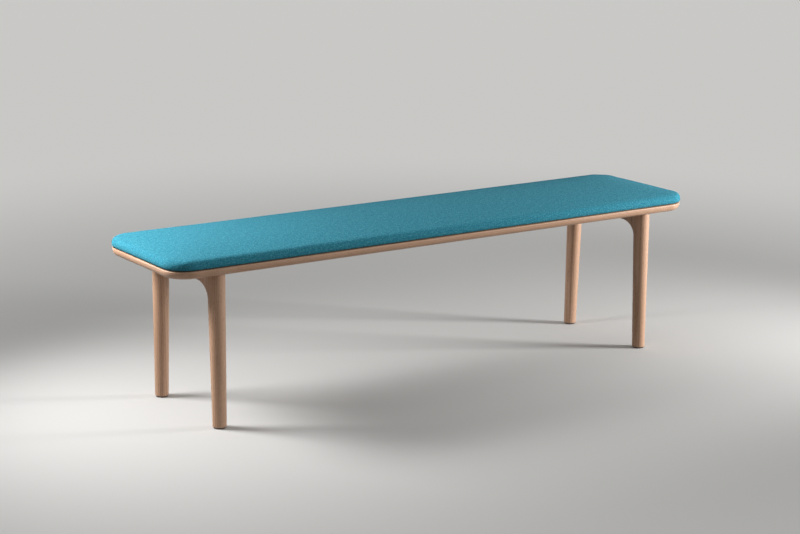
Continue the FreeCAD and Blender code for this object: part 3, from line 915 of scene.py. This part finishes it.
def staple_tree(sizes):
    """A wire bent to a crown and two legs, with round bends."""
    tree, given = new_tree("Bent staples", sizes)
    work_out(tree, given, {"Bend": ("Thickness", 1.3), "Half": ("Thickness", 0.5)})
    # Four points, of which 0 and 3 are the tips, 1 and 2 the bends, and the last two lie at the right
    index = add(tree, "GeometryNodeInputIndex")
    right = add(tree, "ShaderNodeMath", (index, 1.5), operation="GREATER_THAN")
    side = add(tree, "ShaderNodeMath", (right, 0.5), operation="SUBTRACT")
    reach = add(tree, "ShaderNodeMath", (given["Crown"], given["Thickness"]), operation="SUBTRACT")
    x = add(tree, "ShaderNodeMath", (side, reach), operation="MULTIPLY")
    at_bend = add(tree, "ShaderNodeMath", (index, 1.5, 0.9), operation="COMPARE")
    at_tip = add(tree, "ShaderNodeMath", (1, at_bend), operation="SUBTRACT")
    z = add(tree, "ShaderNodeMath", (at_tip, given["Leg"]), operation="MULTIPLY")
    place = add(tree, "ShaderNodeCombineXYZ", {"X": x, "Z": z})
    line = add(tree, "GeometryNodeMeshLine", {"Count": 4})
    bent = add(tree, "GeometryNodeSetPosition", {"Geometry": line, "Position": place})
    path = add(tree, "GeometryNodeMeshToCurve", {"Mesh": bent})
    path = add(tree, "GeometryNodeFilletCurve", {"Curve": path, "Count": 3, "Radius": given["Bend"]},
               mode="POLY")
    wire = add(tree, "GeometryNodeCurvePrimitiveQuadrilateral",
               {"Width": given["Thickness"], "Height": given["Wire"]})
    shape = add(tree, "GeometryNodeCurveToMesh",
                {"Curve": path, "Profile Curve": wire, "Fill Caps": True})
    end_tree(tree, given, [moved(tree, shape, given["Half"])])
    return tree


def fastener_tree(name, sizes, recess):
    """A head with a chamfered rim and a recess, facing down, a shank, and a thread wound round it."""
    head_sides, shank_sides = 28, 16
    tree, given = new_tree(name, sizes)
    given["All turns"] = add(tree, "ShaderNodeMath", (given["Length"], given["Pitch"]),
                             operation="DIVIDE")
    work_out(tree, given, {
        "Rim": ("Head height", 0.3), "Head radius": ("Head", 0.5), "Face radius": ("Head", 0.41),
        "Core radius": ("Diameter", 0.42), "Ridge radius": ("Diameter", 0.08),
        "Turns": ("All turns", 0.85), "Wound length": ("Length", 0.85)})
    body = add(tree, "ShaderNodeMath", (given["Head height"], given["Rim"]), operation="SUBTRACT")
    low = add(tree, "GeometryNodeMeshCone",
              {"Vertices": head_sides, "Radius Top": given["Head radius"],
               "Radius Bottom": given["Face radius"], "Depth": given["Rim"]})
    high = bar(tree, head_sides, given["Head radius"], body, given["Rim"])
    solid = add(tree, "GeometryNodeJoinGeometry", {"Geometry": [low, high]})
    head = add(tree, "GeometryNodeMeshBoolean", {"Mesh 1": solid, "Mesh 2": recess(tree, given)},
               operation="DIFFERENCE", solver="EXACT")
    shank = bar(tree, shank_sides, given["Core radius"], given["Length"], given["Head height"])

    # A three-sided ridge winds over 0.85 of the shank, from 0.12 of its length on
    winding = add(tree, "GeometryNodeCurveSpiral",
                  {"Resolution": 12, "Rotations": given["Turns"], "Start Radius": given["Core radius"],
                   "End Radius": given["Core radius"], "Height": given["Wound length"]})
    ridge = add(tree, "GeometryNodeCurvePrimitiveCircle",
                {"Resolution": 3, "Radius": given["Ridge radius"]})
    thread = add(tree, "GeometryNodeCurveToMesh",
                 {"Curve": winding, "Profile Curve": ridge, "Fill Caps": True})
    start = add(tree, "ShaderNodeMath", (given["Length"], 0.12, given["Head height"]),
                operation="MULTIPLY_ADD")
    end_tree(tree, given, [head, shank, moved(tree, thread, start)], turned=math.tau)
    return tree


def cross_recess(tree, given):
    """Two crossed blades, which cut the recess into the head."""
    work_out(tree, given, {
        "Width": ("Head", 0.56), "Blade": ("Head", 0.13), "Depth": ("Head height", 1.3)})
    blades = []
    for sides in (("Width", "Blade", "Depth"), ("Blade", "Width", "Depth")):
        size = add(tree, "ShaderNodeCombineXYZ", [given[side] for side in sides])
        blades.append(add(tree, "GeometryNodeMeshCube", {"Size": size}))
    return add(tree, "GeometryNodeJoinGeometry", {"Geometry": blades})


def hexagon_recess(tree, given):
    """A hexagon bar, which cuts the socket into the head."""
    work_out(tree, given, {"Radius": ("Socket", 0.5), "Depth": ("Head height", 1.2)})
    return add(tree, "GeometryNodeMeshCylinder",
               {"Vertices": 6, "Radius": given["Radius"], "Depth": given["Depth"]})


def washer_tree(sizes):
    """A flat section swept round the middle of a washer."""
    tree, given = new_tree("Washers", sizes)
    across = (given["Diameter"], given["Hole"])
    given["Both"] = add(tree, "ShaderNodeMath", across, operation="ADD")
    given["Between"] = add(tree, "ShaderNodeMath", across, operation="SUBTRACT")
    work_out(tree, given, {
        "Radius": ("Both", 0.25), "Width": ("Between", 0.5), "Half": ("Thickness", 0.5)})
    ring = add(tree, "GeometryNodeCurvePrimitiveCircle", {"Resolution": 36, "Radius": given["Radius"]})
    section = add(tree, "GeometryNodeCurvePrimitiveQuadrilateral",
                  {"Width": given["Width"], "Height": given["Thickness"]})
    shape = add(tree, "GeometryNodeCurveToMesh", {"Curve": ring, "Profile Curve": section})
    end_tree(tree, given, [moved(tree, shape, given["Half"])])
    return tree


def nail_tree(sizes):
    """A flat head with a slightly smaller face, a shank, and a point over the last fifth."""
    head_sides, shank_sides, tip_radius = 24, 16, 0.2 * MM
    tree, given = new_tree("Glide nails", sizes)
    work_out(tree, given, {
        "Head radius": ("Head", 0.5), "Face radius": ("Head", 0.44), "Radius": ("Diameter", 0.5),
        "Straight": ("Length", 0.8), "Tapered": ("Length", 0.2)})
    head = add(tree, "GeometryNodeMeshCone",
               {"Vertices": head_sides, "Radius Top": given["Head radius"],
                "Radius Bottom": given["Face radius"], "Depth": given["Head height"]})
    shank = bar(tree, shank_sides, given["Radius"], given["Straight"], given["Head height"])
    point = add(tree, "GeometryNodeMeshCone",
                {"Vertices": shank_sides, "Radius Top": tip_radius, "Radius Bottom": given["Radius"],
                 "Depth": given["Tapered"]})
    start = add(tree, "ShaderNodeMath", (given["Straight"], given["Head height"]), operation="ADD")
    end_tree(tree, given, [head, shank, moved(tree, point, start)])
    return tree


def set_out(name, node, tree, places):
    """Runs a hardware tree on its places, each (x, y, z, turn), and bakes it to one mesh of steel."""
    sharp_edge = math.radians(35)
    steel = zinc_plated_steel()
    mesh = bpy.data.meshes.new(name)
    mesh.from_pydata([p[:3] for p in places], [], [])
    turns = mesh.attributes.new("turn", "FLOAT", "POINT")
    turns.data.foreach_set("value", [p[3] for p in places])
    piece = new_object(name, mesh)
    maker = piece.modifiers.new("Pieces", "NODES")
    maker.node_group = tree
    given = {s.name: s.identifier for s in tree.interface.items_tree if s.in_out == "INPUT"}
    maker[given["Finish"]] = steel
    maker[given["Seed"]] = 7
    bake(piece)
    for face in piece.data.polygons:
        face.use_smooth = True
    piece.data.set_sharp_from_angle(angle=sharp_edge)
    stand_for(piece, steel, node)


def staple_places():
    """Rows along both long sides and two staples at each end."""
    kit = bpy.context.scene.bench_hardware
    edge_x = staples_high.x - kit.staple_wire / 2
    edge_y = staples_high.y - kit.staple_wire / 2
    places = []
    for run, edge, turned in ((2 * edge_x, edge_y, False), (2 * edge_y, edge_x, True)):
        count = int((run - corner_radius) / kit.staple_spacing)
        for n in range(count + 1):
            along = (n - count / 2) * kit.staple_spacing
            for side in (-1, 1):
                x, y = (side * edge, along) if turned else (along, side * edge)
                places.append((x, y, staples_low.z, math.pi / 2 if turned else 0.0))
    return places


def screw_places():
    """Four along each long rail and two at each end."""
    kit = bpy.context.scene.bench_hardware
    edge_x, edge_y = screws_high.x - kit.screw_head / 2, screws_high.y - kit.screw_head / 2
    along = [(n - 1.5) * kit.screw_spacing for n in range(4)]
    across = [k * kit.screw_end_spacing / 2 for k in (-1, 1)]
    places = [(x, side * edge_y) for x in along for side in (-1, 1)]
    places += [(side * edge_x, y) for side in (-1, 1) for y in across]
    return [(x, y, screws_low.z, 0.0) for x, y in places]


def bolt_places(height):
    """Three along each crossbar."""
    spacing = bolts_high.y - bpy.context.scene.bench_hardware.bolt_head / 2
    return [(side * leg_x, k * spacing, height, 0.0) for side in (-1, 1) for k in (-1, 0, 1)]


class BENCH_OT_staples(bpy.types.Operator):
    """Makes the staples that hold the hem and the dust cover to the panel"""
    bl_idname = "bench.staples"
    bl_label = "Staples"

    def execute(self, context):
        kit = context.scene.bench_hardware
        sizes = {"Crown": kit.staple_crown, "Wire": kit.staple_wire, "Thickness": kit.staple_thickness,
                 "Leg": kit.staple_leg}
        set_out("hem_staples", "cover_staples", staple_tree(sizes), staple_places())
        return {"FINISHED"}


class BENCH_OT_screws(bpy.types.Operator):
    """Makes the cross-recess screws that hold the panel down"""
    bl_idname = "bench.screws"
    bl_label = "Panel screws"

    def execute(self, context):
        kit = context.scene.bench_hardware
        sizes = {"Diameter": kit.screw_diameter, "Length": kit.screw_length, "Head": kit.screw_head,
                 "Head height": kit.screw_head_height, "Pitch": kit.screw_pitch}
        tree = fastener_tree("Panel screws", sizes, cross_recess)
        set_out("cross_recess_screws", "panel_screws", tree, screw_places())
        return {"FINISHED"}


class BENCH_OT_bolts(bpy.types.Operator):
    """Makes the socket bolts and washers that hold the crossbars to the end rails"""
    bl_idname = "bench.bolts"
    bl_label = "Crossbar bolts"

    def execute(self, context):
        kit = context.scene.bench_hardware
        shank = bolts_high.z - bolts_low.z - kit.bolt_head_height
        sizes = {"Diameter": kit.bolt_diameter, "Length": shank, "Head": kit.bolt_head,
                 "Head height": kit.bolt_head_height, "Pitch": kit.bolt_pitch, "Socket": kit.bolt_socket}
        tree = fastener_tree("Socket bolts", sizes, hexagon_recess)
        set_out("socket_bolts", "crossbar_bolts", tree, bolt_places(bolts_low.z))
        low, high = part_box("bolt_washers")
        sizes = {"Diameter": kit.washer_diameter, "Hole": kit.washer_hole, "Thickness": high.z - low.z}
        set_out("flat_washers", "bolt_washers", washer_tree(sizes), bolt_places(low.z))
        return {"FINISHED"}


class BENCH_OT_glides(bpy.types.Operator):
    """Finishes the glides under the feet and makes their nails"""
    bl_idname = "bench.glides"
    bl_label = "Glides"

    def execute(self, context):
        kit = context.scene.bench_hardware
        finish_nodes(moulded_nylon(), "glide_front_left", "glide_front_right",
                     "glide_back_left", "glide_back_right")
        low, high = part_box("glide_nails")
        sizes = {"Diameter": kit.nail_diameter, "Length": high.z - low.z - kit.nail_head_height,
                 "Head": kit.nail_head, "Head height": kit.nail_head_height}
        places = [(i * leg_x, j * foot_y, low.z, 0.0) for i in (-1, 1) for j in (-1, 1)]
        set_out("nails_in_glides", "glide_nails", nail_tree(sizes), places)
        return {"FINISHED"}


# Stage

def soft_lamp(name, power, size, place, target, spread):
    """An area lamp at a place, turned to a target, whose light spreads over an angle in degrees."""
    lamp = bpy.data.lights.new(name, "AREA")
    lamp.shape = "RECTANGLE"
    lamp.size, lamp.size_y = size
    lamp.energy = power
    lamp.spread = math.radians(spread)
    holder = bpy.data.objects.new(name, lamp)
    holder.location = place
    holder.rotation_euler = (Vector(target) - Vector(place)).to_track_quat("-Z", "Y").to_euler()
    holder.visible_camera = False
    bpy.context.scene.collection.objects.link(holder)


def studio_world(stage):
    """Soft light that is strongest overhead, and an even background for the camera and reflections."""
    world = bpy.data.worlds.new("Studio")
    world.use_nodes = True
    tree = world.node_tree
    tree.nodes.clear()
    way = add(tree, "ShaderNodeTexCoord").node.outputs["Object"]
    up = add(tree, "ShaderNodeSeparateXYZ", (way,)).node.outputs["Z"]
    # From level to a height of 0.8, which is 53 degrees up
    light = add(tree, "ShaderNodeMapRange", (up, 0, 0.8, stage.horizon, stage.sky),
                interpolation_type="SMOOTHSTEP")
    strength = add(tree, "ShaderNodeMix", (shown(tree), light, stage.background), data_type="FLOAT")
    sky = add(tree, "ShaderNodeBackground", {"Color": linear("#F4F4F3"), "Strength": strength})
    add(tree, "ShaderNodeOutputWorld", {"Surface": sky})
    return world


class BENCH_OT_stage(bpy.types.Operator):
    """Makes the plain floor, the soft lamps and the camera"""
    bl_idname = "bench.stage"
    bl_label = "Stage"

    def execute(self, context):
        scene = context.scene
        stage = scene.bench_stage
        reach = 30.0
        mesh = bpy.data.meshes.new("floor")
        mesh.from_pydata([(-reach, -reach, 0), (reach, -reach, 0), (reach, reach, 0), (-reach, reach, 0)],
                         [], [(0, 1, 2, 3)])
        floor = new_object("floor", mesh)
        floor.data.materials.append(painted_floor())
        scene.world = studio_world(stage)
        soft_lamp("Key", stage.key, (0.5, 0.4), (-1.4, 0.55, 1.1), (-0.8, 0, 0.45), spread=90)
        soft_lamp("Rim", stage.rim, (0.5, 0.45), (2.35, -1.35, 0.8), (0.66, -0.05, 0.28), spread=60)
        soft_lamp("Top", stage.top, (3.2, 1.4), (0, 0.5, 2.6), (0, 0, 0.3), spread=180)

        camera = bpy.data.objects.new("Camera", bpy.data.cameras.new("Camera"))
        camera.data.lens = stage.lens
        turn = Matrix.Rotation(-stage.turn, 4, "Z") @ Matrix.Rotation(math.pi / 2 - stage.tilt, 4, "X")
        camera.matrix_world = Matrix.Translation(stage.eye) @ turn @ Matrix.Rotation(stage.roll, 4, "Z")
        scene.collection.objects.link(camera)
        scene.camera = camera
        scene.view_settings.view_transform = "Standard"
        return {"FINISHED"}


class BENCH_PT_pieces(bpy.types.Panel):
    """Lists the makers of the bench's pieces with their sizes and colours"""
    bl_idname = "BENCH_PT_pieces"
    bl_label = "Bench"
    bl_space_type = "VIEW_3D"
    bl_region_type = "UI"
    bl_category = "Bench"

    def draw(self, context):
        for maker in MAKERS:
            self.layout.operator(maker.bl_idname)
        for name in GROUPS:
            box = self.layout.box()
            group = getattr(context.scene, name)
            for key in group.__annotations__:
                box.prop(group, key)


GROUPS = {
    "bench_wood": BenchWood,
    "bench_pad": BenchPad,
    "bench_hardware": BenchHardware,
    "bench_stage": BenchStage,
}
MAKERS = (
    BENCH_OT_seat_frame,
    BENCH_OT_legs,
    BENCH_OT_crossbars,
    BENCH_OT_pad,
    BENCH_OT_panel,
    BENCH_OT_dust_cover,
    BENCH_OT_staples,
    BENCH_OT_screws,
    BENCH_OT_bolts,
    BENCH_OT_glides,
    BENCH_OT_stage,
)


def register():
    for name, group in GROUPS.items():
        bpy.utils.register_class(group)
        setattr(bpy.types.Scene, name, PointerProperty(type=group))
    for maker in MAKERS:
        bpy.utils.register_class(maker)
    bpy.utils.register_class(BENCH_PT_pieces)


def unregister():
    bpy.utils.unregister_class(BENCH_PT_pieces)
    for maker in reversed(MAKERS):
        bpy.utils.unregister_class(maker)
    for name, group in GROUPS.items():
        delattr(bpy.types.Scene, name)
        bpy.utils.unregister_class(group)


def main():
    register()
    bpy.ops.bench.seat_frame()
    bpy.ops.bench.legs()
    bpy.ops.bench.crossbars()
    bpy.ops.bench.pad()
    bpy.ops.bench.panel()
    bpy.ops.bench.dust_cover()
    bpy.ops.bench.staples()
    bpy.ops.bench.screws()
    bpy.ops.bench.bolts()
    bpy.ops.bench.glides()
    bpy.ops.bench.stage()


if __name__ == "__main__":
    main()
